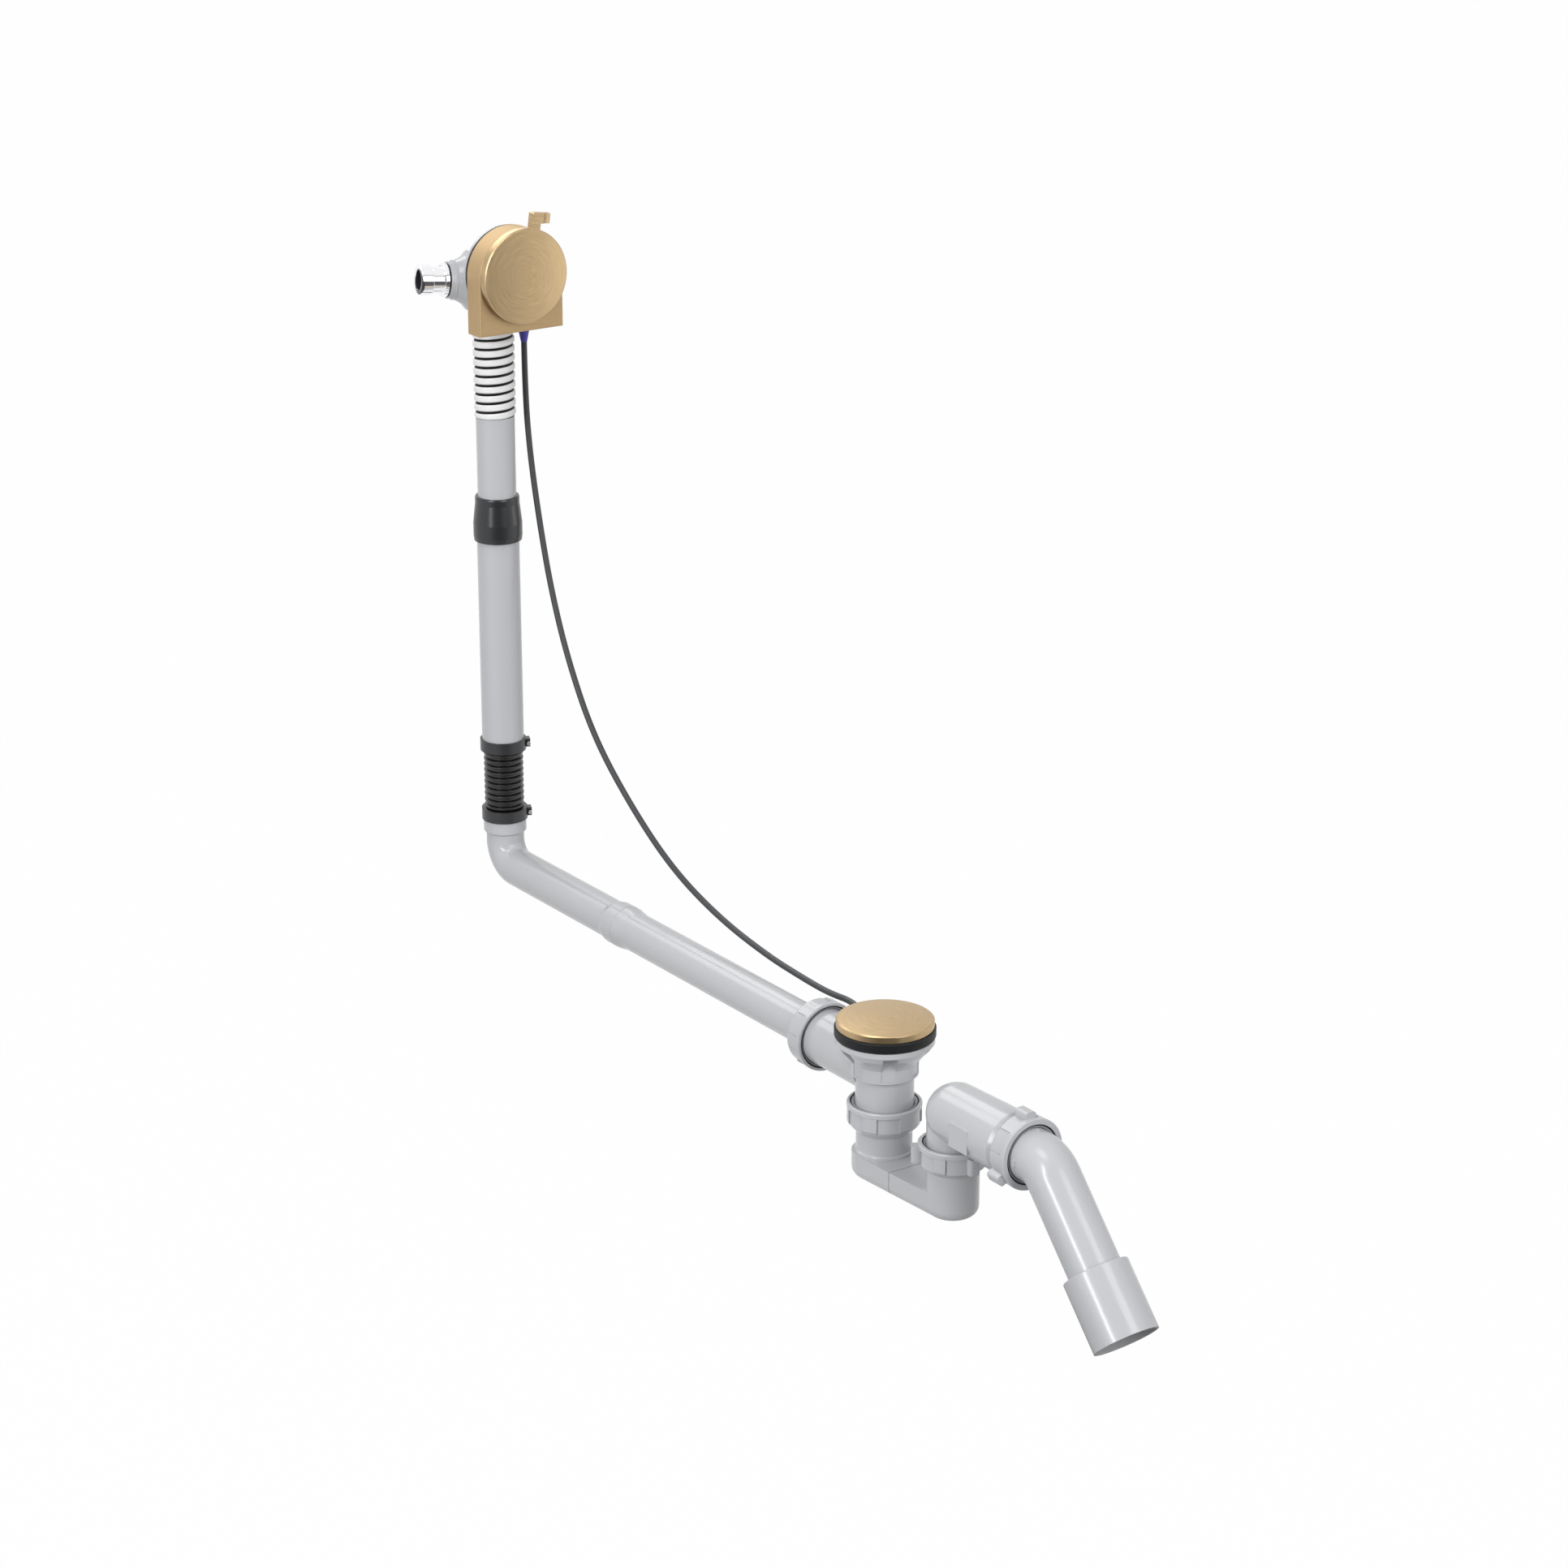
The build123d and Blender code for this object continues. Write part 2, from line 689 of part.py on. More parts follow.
# Overflow elbow: neck under the lower clamp, tight bend, leg in the bell joint
neck_top = neck_height + clamp_width
neck_radius = overflow_radius
riser_base = (riser_x, 0, 0)
elbow_points = [
    (riser_x, 0, neck_top),
    (riser_x, 0, -overflow_drop),
    (joint_x + elbow_insert - 1, 0, -overflow_drop),
]
with BuildPart() as overflow_elbow:
    bent_rod(elbow_points, elbow_bend, overflow_radius)
    turned([
        (0, neck_height - 12),
        (overflow_radius, neck_height - 12),
        (elbow_collar_radius - 0.6, neck_height - 11),
        (elbow_collar_radius, neck_height - 10),
        (elbow_collar_radius, neck_height),
        (neck_radius, neck_height),
        (neck_radius, neck_top),
        (0, neck_top),
    ], riser_base)
    bent_rod(elbow_points, elbow_bend, pipe_bore, Mode.SUBTRACT)
save(overflow_elbow, "overflow_elbow")

# Bellows with a cuff at each end
fold_base = neck_top
fold_top = fold_base + bellows_height
cuff_radius = clamp_radius - clamp_band - seat_gap
fold_pitch = bellows_height / bellows_folds
outer_line = []
for index in range(bellows_folds):
    start = fold_base + index * fold_pitch
    outer_line += [
        (bellows_valley, start + 0.15 * fold_pitch),
        (bellows_crest, start + 0.35 * fold_pitch),
        (bellows_crest, start + 0.65 * fold_pitch),
        (bellows_valley, start + 0.85 * fold_pitch),
    ]
inner_line = [(radius - bellows_wall, height) for radius, height in outer_line]
with BuildPart() as riser_bellows:
    turned(
        [(neck_radius + seat_gap, neck_height), (cuff_radius, neck_height), (cuff_radius, fold_base)]
        + outer_line
        + [
            (cuff_radius, fold_top),
            (cuff_radius, fold_top + clamp_width),
            (riser_radius + seat_gap, fold_top + clamp_width),
            (riser_radius + seat_gap, fold_top + 0.8),
        ]
        + inner_line[::-1]
        + [(neck_radius + seat_gap, fold_base)],
        riser_base,
    )
save(riser_bellows, "riser_bellows")


def hose_clamp(name, low):
    """A band with its screw housing, round a cuff."""
    with BuildPart() as clamp:
        ring(clamp_radius - clamp_band, clamp_radius, low, low + clamp_width, riser_base)
        housing_plane = Plane(origin=(riser_x, 0, low + clamp_width / 2), x_dir=(0, 0, 1), z_dir=clamp_side)
        with BuildSketch(housing_plane.offset(clamp_radius - 0.4)) as housing_outline:
            RectangleRounded(clamp_width - 2.5, 9, 1.2)
        extrude(housing_outline.sketch, amount=3.6)
        ring(0, 1.8, -7, 7, clamp_screw_centre(low), clamp_screw_way, Mode.SUBTRACT)
    save(clamp, name)


def clamp_screw_centre(low):
    return (
        riser_x + clamp_side[0] * (clamp_radius + 1.6),
        clamp_side[1] * (clamp_radius + 1.6),
        low + clamp_width / 2,
    )


clamp_angle = radians(66)
clamp_side = (cos(clamp_angle), sin(clamp_angle), 0)
clamp_screw_way = (-sin(clamp_angle), cos(clamp_angle), 0)
hose_clamp("clamp_lower", neck_height)
hose_clamp("clamp_upper", fold_top)
with BuildPart() as clamp_screws:
    for low in (neck_height, fold_top):
        turned([
            (0, -6.5),
            (1.7, -6.5),
            (1.7, 5.4),
            (2.2, 5.4),
            (2.2, 7.6),
            (0, 7.6),
        ], clamp_screw_centre(low), clamp_screw_way)
save(clamp_screws, "clamp_screws")

# Riser: lower tube, sealing collar, upper pipe
lower_tube_top = collar_base + 14
with BuildPart() as lower_tube:
    ring(riser_radius - riser_wall, riser_radius, fold_top + 1, lower_tube_top, riser_base)
save(lower_tube, "lower_tube")

collar_top = collar_base + collar_height
slim_collar = overflow_radius + 2
with BuildPart() as riser_collar:
    turned([
        (riser_radius + seat_gap, collar_base),
        (collar_radius - 0.5, collar_base),
        (collar_radius, collar_base + 4),
        (collar_radius, collar_base + 15),
        (slim_collar + 0.4, collar_top - 6),
        (slim_collar + 0.4, collar_top - 1.4),
        (slim_collar, collar_top),
        (overflow_radius + seat_gap, collar_top),
        (overflow_radius + seat_gap, lower_tube_top),
        (riser_radius + seat_gap, lower_tube_top),
    ], riser_base)
save(riser_collar, "riser_collar")

hose_spigot = hose_bore - seat_gap
with BuildPart() as upper_pipe:
    turned([
        (overflow_radius, collar_base - riser_overlap),
        (overflow_radius, upper_pipe_top),
        (hose_spigot, upper_pipe_top),
        (hose_spigot, upper_pipe_top + 18),
        (hose_spigot - 1.8, upper_pipe_top + 18),
        (hose_spigot - 1.8, upper_pipe_top - 4),
        (pipe_bore, upper_pipe_top - 6),
        (pipe_bore, collar_base - riser_overlap),
    ], riser_base)
save(upper_pipe, "upper_pipe")

# Hose: smooth tube wound with a helical rib, cut off square at its foot
hose_foot = upper_pipe_top + 0.5
with BuildPart() as hose_tube:
    ring(hose_bore, hose_radius, hose_foot, hose_top, riser_base)
save(hose_tube, "hose_tube")

coil_base = hose_foot + hose_rib_width / 2 - hose_pitch
coil_height = hose_top - hose_rib_width / 2 - coil_base
with BuildPart() as hose_rib:
    with BuildLine() as winding:
        Helix(hose_pitch, coil_height, hose_radius, center=(riser_x, 0, coil_base))
    with BuildSketch(Plane(origin=winding.line @ 0, x_dir=(1, 0, 0), z_dir=(0, 1, 0))) as rib:
        with BuildLine():
            base = seat_gap / 2
            height = hose_rib_radius - hose_radius
            half = hose_rib_width / 2
            Polyline(
                (base, -half),
                (height - 0.8, -half),
                (height, -half + 1),
                (height, half - 1),
                (height - 0.8, half),
                (base, half),
                close=True,
            )
        make_face()
    sweep(rib.sketch, path=winding.line, is_frenet=True)
    split(bisect_by=Plane.XY.offset(hose_foot), keep=Keep.TOP)
save(hose_rib, "hose_rib")

# Overflow body behind the bath wall: flange, funnel, domed riser socket, cable boss and inlet boss
seal_back = wall_x - wall_seal_thickness
can_front = seal_back - can_flange_thickness
can_back = riser_x - dome_radius
dial_axis = (0, 0, dial_height)
seal_axis = (0, 0, dial_height - housing_below_dial)
dome_centre = (riser_x, 0, dial_height)
spigot_low = hose_top - 14
boss_low = ferrule_top - 5
drum_low = can_back + can_wall + 3.5
core_top = (drum_low + drum_width / 2, drum_radius + 1.4, dial_height)
core_foot = (riser_x + 2, cable_y, ferrule_top + 0.6)
core_way = Vector(*core_top) - Vector(*core_foot)
inlet_way = (
    -sin(radians(inlet_back)) * cos(radians(inlet_tilt)),
    -cos(radians(inlet_back)) * cos(radians(inlet_tilt)),
    sin(radians(inlet_tilt)),
)
inlet_root = (riser_x + 2, inlet_y, dial_height - inlet_below_dial)
boss_end = 17.0
post_radius = 4.0
screw_radius = 2.0
dome_bore = dome_radius - can_wall

with BuildPart() as overflow_body:
    ring(0, can_flange_radius, can_front, seal_back, seal_axis, (1, 0, 0))
    turned([
        (0, riser_x),
        (dome_radius, riser_x),
        (can_radius, can_front),
        (0, can_front),
    ], dial_axis, (1, 0, 0))
    with Locations(dome_centre):
        Sphere(dome_radius)
    ring(0, dome_radius, hose_top + 0.5, dial_height, riser_base)
    ring(0, hose_spigot, spigot_low, hose_top + 1, riser_base)
    turned([
        (0, -10),
        (14, -10),
        (24, 0),
        (20, 3.5),
        (17.5, 7.5),
        (16, 11),
        (16, 13),
        (15, 13),
        (15, boss_end),
        (0, boss_end),
    ], inlet_root, inlet_way)
    ring(0, gland_radius, boss_low, dial_height - 22, (riser_x + 2, cable_y, 0))
    with BuildSketch(Plane.XY.offset(hose_top + 0.5)) as web:
        with Locations((riser_x + 2, cable_y / 2)):
            Rectangle(8, cable_y)
    extrude(web.sketch, amount=26)
    for side in (-1, 1):
        post = (0, side * fixing_spread, dial_height)
        ring(0, post_radius, can_front - fixing_depth, can_front + 1, post, (1, 0, 0))
    ring(0, 2 * can_flange_radius, seal_back, wall_x, dial_axis, (1, 0, 0), Mode.SUBTRACT)
    turned([
        (0, riser_x),
        (dome_bore, riser_x),
        (can_radius - can_wall, can_front),
        (can_radius - can_wall, seal_back + 3),
        (0, seal_back + 3),
    ], dial_axis, (1, 0, 0), Mode.SUBTRACT)
    with Locations(dome_centre):
        Sphere(dome_bore, mode=Mode.SUBTRACT)
    ring(0, dome_bore, hose_top + 4, dial_height, riser_base, mode=Mode.SUBTRACT)
    ring(0, hose_spigot - 1.8, spigot_low - 1, hose_top + 5, riser_base, mode=Mode.SUBTRACT)
    ring(0, nipple_bore, -12, boss_end + 1, inlet_root, inlet_way, Mode.SUBTRACT)
    ring(0, nipple_radius - 1, 2, boss_end + 1, inlet_root, inlet_way, Mode.SUBTRACT)
    cable_base = (riser_x + 2, cable_y, 0)
    ring(0, ferrule_radius + seat_gap, boss_low - 1, ferrule_top, cable_base, mode=Mode.SUBTRACT)
    ring(0, 1.4, 0, core_way.length - 4, core_foot, tuple(core_way), Mode.SUBTRACT)
    for side in (-1, 1):
        post = (0, side * fixing_spread, dial_height)
        hole_start = can_front - fixing_depth + 2
        ring(0, screw_radius + seat_gap, hole_start, seal_back + 1, post, (1, 0, 0), Mode.SUBTRACT)
    ring(shaft_radius + shaft_gap, shaft_radius + 3, can_back + 1.5, drum_low - 0.3, dial_axis, (1, 0, 0))
save(overflow_body, "overflow_body")

# Drum on the shaft, the wire it pulls, and the ring that keeps it there
with BuildPart() as cable_drum:
    turned([
        (shaft_radius + seat_gap, drum_low),
        (drum_radius, drum_low),
        (drum_radius, drum_low + 2),
        (drum_radius - 1.2, drum_low + 3),
        (drum_radius, drum_low + 4),
        (drum_radius, drum_low + drum_width),
        (shaft_radius + seat_gap, drum_low + drum_width),
    ], dial_axis, (1, 0, 0))
save(cable_drum, "cable_drum")

with BuildPart() as core_wire:
    ring(0, 0.8, 0, core_way.length, core_foot, tuple(core_way))
save(core_wire, "core_wire")

with BuildPart() as drum_clip:
    clip_low = drum_low + drum_width
    with BuildSketch(Plane(origin=(clip_low, 0, dial_height), z_dir=(1, 0, 0))) as clip:
        Circle(shaft_radius + 2.2)
        Circle(shaft_radius + seat_gap, mode=Mode.SUBTRACT)
        with Locations((0, -shaft_radius - 1)):
            Rectangle(4, 6, mode=Mode.SUBTRACT)
    extrude(clip.sketch, amount=1.2)
save(drum_clip, "drum_clip")

# Wall seal between the bath wall and the body
with BuildPart() as wall_seal:
    turned([
        (can_radius - can_wall, seal_back),
        (can_flange_radius + 0.5, seal_back),
        (wall_seal_radius, seal_back + 1.5),
        (wall_seal_radius, wall_x),
        (can_radius - can_wall, wall_x),
    ], seal_axis, (1, 0, 0))
save(wall_seal, "wall_seal")

# Rosette housing: an arch-shaped shell, open at the back and at the foot
housing_front = wall_x + housing_depth
housing_radius = housing_width / 2
arch_centre = dial_height - housing_below_dial
arch_plane = Plane(origin=(wall_x, 0, arch_centre), x_dir=(0, 1, 0), z_dir=(1, 0, 0))


def arch(inset, drop):
    """The housing's outline: a half circle over a square foot."""
    half = housing_radius - inset
    with BuildLine() as outline:
        ThreePointArc((half, 0), (0, half), (-half, 0))
        Polyline((-half, 0), (-half, -drop), (half, -drop), (half, 0))
    make_face(outline.edges())


with BuildPart() as rosette_housing:
    with BuildSketch(arch_plane):
        arch(0, housing_drop)
    extrude(amount=housing_depth)
    fillet(rosette_housing.faces().sort_by(Axis.X)[-1].edges(), 1.6)
    with BuildSketch(arch_plane) as cavity:
        arch(housing_wall, housing_drop - housing_wall)
    extrude(cavity.sketch, amount=housing_depth - housing_wall, mode=Mode.SUBTRACT)
    with BuildSketch(Plane((wall_x, 0, arch_centre - housing_drop - 1))) as foot_slot:
        with Locations((housing_depth / 2 - 1, 0)):
            Rectangle(housing_depth - 7, housing_width - 16)
    extrude(foot_slot.sketch, amount=housing_wall + 2, mode=Mode.SUBTRACT)
    ring(0, shaft_radius + 4, wall_x + 2, housing_front - 1, dial_axis, (1, 0, 0))
    for side in (-1, 1):
        post = (0, side * fixing_spread, dial_height)
        ring(0, post_radius + 1, wall_x, housing_front - 1, post, (1, 0, 0))
        ring(0, screw_radius + seat_gap, wall_x - 1, housing_front + 1, post, (1, 0, 0), Mode.SUBTRACT)
        ring(0, post_radius - 0.2, housing_front - 3, housing_front + 1, post, (1, 0, 0), Mode.SUBTRACT)
    ring(0, shaft_radius + shaft_gap, wall_x - 1, housing_front + 1, dial_axis, (1, 0, 0), Mode.SUBTRACT)
save(rosette_housing, "rosette_housing")

# Two screws draw the housing and the body together through the bath wall
with BuildPart() as fixing_screws:
    for side in (-1, 1):
        turned([
            (0, can_front - fixing_depth + 2.5),
            (screw_radius, can_front - fixing_depth + 2.5),
            (screw_radius, housing_front - 3),
            (post_radius - 0.4, housing_front - 3),
            (post_radius - 0.4, housing_front - 0.8),
            (0, housing_front - 0.8),
        ], (0, side * fixing_spread, dial_height), (1, 0, 0))
save(fixing_screws, "fixing_screws")

# Dial with its lever, the shaft behind it, its grub screw and the shaft's O-ring
dial_back = housing_front + dial_gap
dial_front = dial_back + dial_thickness
lever_turn = radians(lever_angle)
lever_across = (0, cos(lever_turn), -sin(lever_turn))
shaft_front = dial_front - 3
grub_x = dial_back + 2.6
with BuildPart() as control_dial:
    turned([
        (0, dial_back),
        (dial_radius, dial_back),
        (dial_radius, dial_front - 1),
        (dial_radius - 1, dial_front),
        (0, dial_front),
    ], dial_axis, (1, 0, 0))
    lever_plane = Plane(origin=(dial_back, 0, dial_height), x_dir=lever_across, z_dir=(1, 0, 0))
    with BuildSketch(lever_plane) as lever_outline:
        with BuildLine():
            Polyline(
                (lever_start, dial_radius - 8),
                (lever_start + lever_width, dial_radius - 8),
                (lever_start + lever_width, lever_reach - lever_height),
                (lever_span, lever_reach - lever_height),
                (lever_span, lever_reach),
                (lever_start, lever_reach),
                close=True,
            )
        make_face()
        fillet(lever_outline.vertices().group_by(Axis.Y)[-1], 1)
    extrude(lever_outline.sketch, amount=dial_thickness)
    scoop_radius = 9
    scoop_side = Vector(*lever_across) * (lever_start + lever_width + scoop_radius)
    scoop_centre = Vector(dial_front + scoop_radius - lever_scoop, 0, dial_height) + scoop_side
    scoop_way = Vector(0, sin(lever_turn), cos(lever_turn))
    ring(0, scoop_radius, dial_radius, lever_reach + 2, tuple(scoop_centre), tuple(scoop_way), Mode.SUBTRACT)
    ring(0, shaft_radius + seat_gap, dial_back - 1, shaft_front, dial_axis, (1, 0, 0), Mode.SUBTRACT)
    ring(0, 1.6, 0, dial_radius + 1, (grub_x, 0, dial_height), (0, 0, -1), Mode.SUBTRACT)
save(control_dial, "control_dial")

with BuildPart() as dial_shaft:
    turned([
        (0, can_back + can_wall + 1),
        (shaft_radius - 0.5, can_back + can_wall + 1),
        (shaft_radius, can_back + can_wall + 1.5),
        (shaft_radius, wall_x + 5),
        (shaft_radius - 1, wall_x + 5),
        (shaft_radius - 1, wall_x + 7),
        (shaft_radius, wall_x + 7),
        (shaft_radius, shaft_front - 0.5),
        (0, shaft_front - 0.5),
    ], dial_axis, (1, 0, 0))
save(dial_shaft, "dial_shaft")

with BuildPart() as shaft_seal:
    ring(shaft_radius - 0.95, shaft_radius - 0.05, wall_x + 5.1, wall_x + 6.9, dial_axis, (1, 0, 0))
save(shaft_seal, "shaft_seal")

with BuildPart() as dial_grub_screw:
    ring(0, 1.5, shaft_radius + 0.1, shaft_radius + 9, (grub_x, 0, dial_height), (0, 0, -1))
save(dial_grub_screw, "dial_grub_screw")

# Water inlet nipple and its washer
with BuildPart() as inlet_nipple:
    turned([
        (nipple_bore - 0.6, 2),
        (nipple_radius - 1 - seat_gap, 2),
        (nipple_radius - 1 - seat_gap, boss_end + 1.4),
        (nipple_radius + 2.6, boss_end + 1.4),
        (nipple_radius + 2.6, boss_end + 4.5),
        (nipple_radius, boss_end + 5),
        (nipple_radius, 31),
        (nipple_collar - 0.4, 31),
        (nipple_collar, 31.5),
        (nipple_collar, 40.4),
        (nipple_collar - 0.8, 41.2),
        (nipple_bore, 41.2),
        (nipple_bore - 0.6, 40.4),
    ], inlet_root, inlet_way)
save(inlet_nipple, "inlet_nipple")
with BuildPart() as inlet_washer:
    ring(nipple_radius - 0.9, nipple_radius + 2.4, boss_end, boss_end + 1.4, inlet_root, inlet_way)
save(inlet_washer, "inlet_washer")
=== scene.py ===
import json
from math import cos, radians, sin

import bpy
from mathutils import Matrix, Vector


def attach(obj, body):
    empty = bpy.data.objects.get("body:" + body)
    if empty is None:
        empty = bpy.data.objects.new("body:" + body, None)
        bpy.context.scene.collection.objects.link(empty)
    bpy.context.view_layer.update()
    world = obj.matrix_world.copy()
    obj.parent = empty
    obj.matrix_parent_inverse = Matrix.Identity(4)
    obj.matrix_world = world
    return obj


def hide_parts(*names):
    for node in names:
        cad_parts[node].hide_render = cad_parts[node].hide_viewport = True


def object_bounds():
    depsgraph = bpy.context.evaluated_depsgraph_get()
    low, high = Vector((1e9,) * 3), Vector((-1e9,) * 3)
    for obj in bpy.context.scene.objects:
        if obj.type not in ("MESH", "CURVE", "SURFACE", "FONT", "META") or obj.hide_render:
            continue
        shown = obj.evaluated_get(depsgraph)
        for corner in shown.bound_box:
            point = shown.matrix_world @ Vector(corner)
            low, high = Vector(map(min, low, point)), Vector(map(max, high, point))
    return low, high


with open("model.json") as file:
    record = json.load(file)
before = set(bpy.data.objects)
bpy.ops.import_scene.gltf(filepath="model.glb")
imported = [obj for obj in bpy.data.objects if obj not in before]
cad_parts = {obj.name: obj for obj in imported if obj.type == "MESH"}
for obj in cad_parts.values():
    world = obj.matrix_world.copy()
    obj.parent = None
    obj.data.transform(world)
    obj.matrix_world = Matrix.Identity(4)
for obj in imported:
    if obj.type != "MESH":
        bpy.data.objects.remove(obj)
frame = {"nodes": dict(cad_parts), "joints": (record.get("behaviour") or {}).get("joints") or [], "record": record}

MM = 0.001
cad_box = [[float(c) for c in corner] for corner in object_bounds()]
nodes = frame["nodes"]
scene = bpy.context.scene
scene.view_settings.view_transform = "Standard"


# Directions and new objects

def bearing(azimuth, height=0.0):
    """The way outwards at an azimuth from X and a height above level, in degrees."""
    a = radians(azimuth)
    e = radians(height)
    return Vector((cos(a) * cos(e), sin(a) * cos(e), sin(e)))


def facing(way):
    """The turn of a camera or a lamp that looks back against the way, with its sides level."""
    side = Vector((-way.y, way.x, 0)).normalized()
    return Matrix((side, way.cross(side), way)).transposed().to_4x4()


def added(name, data):
    made = bpy.data.objects.new(name, data)
    scene.collection.objects.link(made)
    return made


# Camera at the photograph's angle and place

CAMERA_PLACE = Vector((2217.4, -1652.2, 1165.0)) * MM
CAMERA_WAY = bearing(-35.127, 19.415)
FOCAL_LENGTH = 92.2

optics = bpy.data.cameras.new("camera")
optics.sensor_width = 36
optics.lens = FOCAL_LENGTH
optics.clip_end = 30
scene.camera = added("camera", optics)
scene.camera.matrix_world = Matrix.Translation(CAMERA_PLACE) @ facing(CAMERA_WAY)


# Node graphs

class Graph:
    """The nodes of a material or of the world, with short calls that make and join them."""

    def __init__(self, owner):
        owner.use_nodes = True
        self.tree = owner.node_tree

    def fill(self, node, inputs):
        """Gives a node's inputs their numbers and colours, or the outputs of other nodes."""
        for key, value in inputs.items():
            if isinstance(value, bpy.types.NodeSocket):
                self.tree.links.new(value, node.inputs[key])
            else:
                node.inputs[key].default_value = value

    def add(self, kind, inputs, **settings):
        """A node of a kind such as Math. Its settings come first, as they decide which inputs it has."""
        node = self.tree.nodes.new("ShaderNode" + kind)
        for name, value in settings.items():
            setattr(node, name, value)
        self.fill(node, inputs)
        return node

    def maths(self, operation, *values):
        """One sum; each value is a number or an output."""
        return self.add("Math", dict(enumerate(values)), operation=operation).outputs[0]

    def vector(self, operation, *values):
        """One sum of vectors. Its outputs are Vector, or Value where the sum is a number."""
        return self.add("VectorMath", dict(enumerate(values)), operation=operation).outputs

    def coordinates(self, kind="Object"):
        return self.add("TexCoord", {}).outputs[kind]

    def ramp(self, source, start, stop, low, high, **settings):
        """Low up to the start, high from the stop on, and a slope between them."""
        inputs = {"Value": source, "From Min": start, "From Max": stop, "To Min": low, "To Max": high}
        return self.add("MapRange", inputs, **settings).outputs["Result"]

    def either(self, factor, first, second):
        """The first shader where the factor is nothing, the second where it is one, or a mixture."""
        return self.add("MixShader", {0: factor, 1: first, 2: second}).outputs[0]

    def rays(self, *kinds):
        """One for any of the kinds of ray named, and else nothing."""
        path = self.add("LightPath", {}).outputs
        found = path[kinds[0]]
        for kind in kinds[1:]:
            found = self.maths("MAXIMUM", found, path[kind])
        return found


# Materials. The scale of a noise is about its waves to the metre

X_AXIS = 0
Y_AXIS = 1
Z_AXIS = 2
BRASS = (0.50, 0.365, 0.205)
DIAL_CROWN = 200 * MM
WASTE_CENTRE = (0, 0, 0)
MOUTH_CENTRE = (-548 * MM, 0, 473.7 * MM)
MOUTH_RADIUS = 10.2 * MM
# Painted shade: the dark colour painted into the inlet's mouth, where its bore lies in shade
MOUTH_SHADE_COLOUR = (0.03, 0.03, 0.035)


class Finish(Graph):
    """A Principled material with noise in its colour, its gloss and its relief."""

    # Most of a noise lies between these
    NOISE_LOW = 0.3
    NOISE_HIGH = 0.7

    def __init__(self, name, colour, roughness, metallic=0.0):
        self.material = bpy.data.materials.new(name)
        super().__init__(self.material)
        self.shader = self.tree.nodes["Principled BSDF"]
        self.colour = colour
        self.roughness = roughness
        self.fill(self.shader, {"Base Color": (*colour, 1), "Roughness": roughness, "Metallic": metallic})

    def noise(self, scale, detail, stretch=(1, 1, 1)):
        """Noise that is drawn out along each axis where stretch is small."""
        place = self.add("Mapping", {"Vector": self.coordinates(), "Scale": stretch}).outputs["Vector"]
        return self.add("TexNoise", {"Vector": place, "Scale": scale, "Detail": detail}).outputs["Fac"]

    def across(self, centre, axis):
        """The two places beside an axis through a centre, and the distance from it."""
        place = self.add("SeparateXYZ", {0: self.coordinates()}).outputs
        a, b = [self.maths("SUBTRACT", place[i], centre[i]) for i in range(3) if i != axis]
        square = self.maths("MULTIPLY_ADD", a, a, self.maths("MULTIPLY", b, b))
        return a, b, self.maths("SQRT", square)

    def rings(self, a, b, radius, scale, stretch):
        """Noise in circles: fine along the radius, and drawn out along the turn."""
        turn = self.maths("ARCTAN2", a, b)
        polar = {0: self.maths("MULTIPLY", radius, scale), 1: self.maths("MULTIPLY", turn, stretch)}
        place = self.add("CombineXYZ", polar).outputs[0]
        return self.add("TexNoise", {"Vector": place, "Scale": 1.0, "Detail": 4.0}).outputs["Fac"]

    def spread(self, source, low, high):
        """Brings a noise to run from low to high."""
        return self.ramp(source, self.NOISE_LOW, self.NOISE_HIGH, low, high)

    def paint(self, factor, first, second):
        """Turns the colour from the first to the second as the factor goes from nothing to one."""
        colours = {"Factor": factor, "A": (*first, 1), "B": (*second, 1)}
        mix = self.add("Mix", colours, data_type="RGBA")
        self.fill(self.shader, {"Base Color": mix.outputs["Result"]})

    def mottle(self, source, amount):
        """Lets the colour drift by the amount, darker and lighter."""
        dark = [c * (1 - amount) for c in self.colour]
        light = [min(c * (1 + amount), 1) for c in self.colour]
        self.paint(self.spread(source, 0, 1), dark, light)

    def gloss(self, source, amount):
        """Lets the roughness drift by the amount."""
        drift = self.spread(source, self.roughness - amount, self.roughness + amount)
        self.fill(self.shader, {"Roughness": drift})

    def relief(self, source, height, strength, rounded, crown=None):
        """Fine relief over edges rounded in the shading, and over a slight crown where one is given."""
        normal = self.add("Bevel", {"Radius": rounded}, samples=6).outputs["Normal"]
        if crown is not None:
            normal = self.raised(normal, crown, height=1.0, strength=1.0)
        self.fill(self.shader, {"Normal": self.raised(normal, source, height, strength)})

    def raised(self, normal, source, height, strength):
        """The normal of a surface that the source raises, by up to the height in metres."""
        inputs = {"Height": source, "Distance": height, "Strength": strength, "Normal": normal}
        return self.add("Bump", inputs).outputs["Normal"]

    def insert(self, centre, axis, radius, colour):
        """Within a radius about an axis the metal gives way to painted shade: a dark, non-metal patch that stands
        for the shaded inside of a bore.
        """
        painted_shade_mask = self.maths("LESS_THAN", self.across(centre, axis)[2], radius)
        self.paint(painted_shade_mask, self.colour, colour)
        self.fill(self.shader, {"Metallic": self.maths("SUBTRACT", 1.0, painted_shade_mask)})


def moulded(name, colour, roughness, specular=0.45):
    """Moulded plastic or rubber: faint flow clouds, and the fine orange peel of the tool."""
    made = Finish(name, colour, roughness)
    made.mottle(made.noise(scale=9, detail=1), amount=0.01)
    made.gloss(made.noise(scale=30, detail=1), amount=0.01)
    made.relief(made.noise(scale=700, detail=2), height=0.01 * MM, strength=0.12, rounded=0.4 * MM)
    made.fill(made.shader, {"Specular IOR Level": specular})
    return made.material


